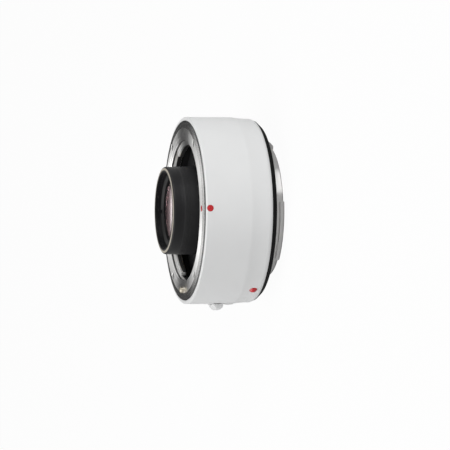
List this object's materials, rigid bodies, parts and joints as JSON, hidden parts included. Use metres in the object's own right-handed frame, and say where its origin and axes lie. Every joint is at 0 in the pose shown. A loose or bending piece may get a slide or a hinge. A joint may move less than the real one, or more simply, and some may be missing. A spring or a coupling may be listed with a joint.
{
  "type": "camera teleconverter",
  "caption": "Short white camera teleconverter with a female lens bayonet in front, a black nose that holds the glass, a sprung release lever and a male camera bayonet behind.",
  "frame": {"origin": "centre of the rear mounting face, where the camera's mount seats", "axes": "+Z along the optical axis towards the lens in front, -Y towards the front index dot, -X towards the release lever"},
  "size_m": [0.0744, 0.072, 0.041],
  "materials": {
    "white_paint": "satin off-white paint",
    "red_mark": "glossy red index mark",
    "mount_chrome": "turned and polished chrome on brass",
    "screw_steel": "bright screw steel",
    "spring_steel": "spring steel",
    "black_anodised": "black anodised, satin",
    "cast_frame": "dark cast alloy",
    "black_plastic": "matte black moulding",
    "seal_rubber": "matte black rubber",
    "contact_gold": "gold plated",
    "board_green": "solder resist",
    "flex_amber": "amber film",
    "coated_glass": "polished, with a lilac coating"
  },
  "bodies": {
    "housing": {"barrel": "white_paint", "front_index_dot": "red_mark", "rear_index_dot": "red_mark", "flange_index_dot": "red_mark", "front_mount": "mount_chrome", "rear_mount": "mount_chrome", "front_mount_screws": "screw_steel", "tube_screws": "screw_steel", "front_contact_screws": "screw_steel", "rear_mount_screws": "screw_steel", "rear_baffle_screws": "screw_steel", "rear_contact_screws": "screw_steel", "board_screws": "screw_steel", "mount_spring": "spring_steel", "lock_spring": "spring_steel", "contact_spring_1": "spring_steel", "contact_spring_2": "spring_steel", "contact_spring_3": "spring_steel", "contact_spring_4": "spring_steel", "contact_spring_5": "spring_steel", "contact_spring_6": "spring_steel", "contact_spring_7": "spring_steel", "contact_spring_8": "spring_steel", "lens_tube": "black_anodised", "front_retainer": "black_anodised", "spacer_1": "black_anodised", "spacer_2": "black_anodised", "main_frame": "cast_frame", "front_baffle": "black_plastic", "front_contact_block": "black_plastic", "rear_baffle": "black_plastic", "rear_contact_block": "black_plastic", "board_chips": "black_plastic", "rear_seal": "seal_rubber", "rear_contact_pads": "contact_gold", "rear_shim": "contact_gold", "circuit_board": "board_green", "front_flex": "flex_amber", "rear_flex": "flex_amber", "element_1": "coated_glass", "element_2": "coated_glass", "element_3": "coated_glass", "element_4": "coated_glass", "element_5": "coated_glass", "element_6": "coated_glass", "element_7": "coated_glass"},
    "release": {"release_lever": "white_paint", "lock_slider": "black_plastic", "lock_pin": "screw_steel", "lever_screw": "screw_steel"},
    "contact_1": {"contact_pin_1": "contact_gold"},
    "contact_2": {"contact_pin_2": "contact_gold"},
    "contact_3": {"contact_pin_3": "contact_gold"},
    "contact_4": {"contact_pin_4": "contact_gold"},
    "contact_5": {"contact_pin_5": "contact_gold"},
    "contact_6": {"contact_pin_6": "contact_gold"},
    "contact_7": {"contact_pin_7": "contact_gold"},
    "contact_8": {"contact_pin_8": "contact_gold"}
  },
  "joints": [
    {"name": "release_slide", "type": "slide", "parent": "housing", "child": "release", "axis": [0, 0, 1], "range_m": [-0.0018, 0], "stiffness_N_per_m": 250, "springref_m": 0.003, "deforming": ["lock_spring"]},
    {"name": "contact_1_press", "type": "slide", "parent": "housing", "child": "contact_1", "axis": [0, 0, 1], "range_m": [-0.0009, 0], "stiffness_N_per_m": 300, "springref_m": 0.0008, "deforming": ["contact_spring_1"]},
    {"name": "contact_2_press", "type": "slide", "parent": "housing", "child": "contact_2", "axis": [0, 0, 1], "range_m": [-0.0009, 0], "stiffness_N_per_m": 300, "springref_m": 0.0008, "deforming": ["contact_spring_2"]},
    {"name": "contact_3_press", "type": "slide", "parent": "housing", "child": "contact_3", "axis": [0, 0, 1], "range_m": [-0.0009, 0], "stiffness_N_per_m": 300, "springref_m": 0.0008, "deforming": ["contact_spring_3"]},
    {"name": "contact_4_press", "type": "slide", "parent": "housing", "child": "contact_4", "axis": [0, 0, 1], "range_m": [-0.0009, 0], "stiffness_N_per_m": 300, "springref_m": 0.0008, "deforming": ["contact_spring_4"]},
    {"name": "contact_5_press", "type": "slide", "parent": "housing", "child": "contact_5", "axis": [0, 0, 1], "range_m": [-0.0009, 0], "stiffness_N_per_m": 300, "springref_m": 0.0008, "deforming": ["contact_spring_5"]},
    {"name": "contact_6_press", "type": "slide", "parent": "housing", "child": "contact_6", "axis": [0, 0, 1], "range_m": [-0.0009, 0], "stiffness_N_per_m": 300, "springref_m": 0.0008, "deforming": ["contact_spring_6"]},
    {"name": "contact_7_press", "type": "slide", "parent": "housing", "child": "contact_7", "axis": [0, 0, 1], "range_m": [-0.0009, 0], "stiffness_N_per_m": 300, "springref_m": 0.0008, "deforming": ["contact_spring_7"]},
    {"name": "contact_8_press", "type": "slide", "parent": "housing", "child": "contact_8", "axis": [0, 0, 1], "range_m": [-0.0009, 0], "stiffness_N_per_m": 300, "springref_m": 0.0008, "deforming": ["contact_spring_8"]}
  ]
}
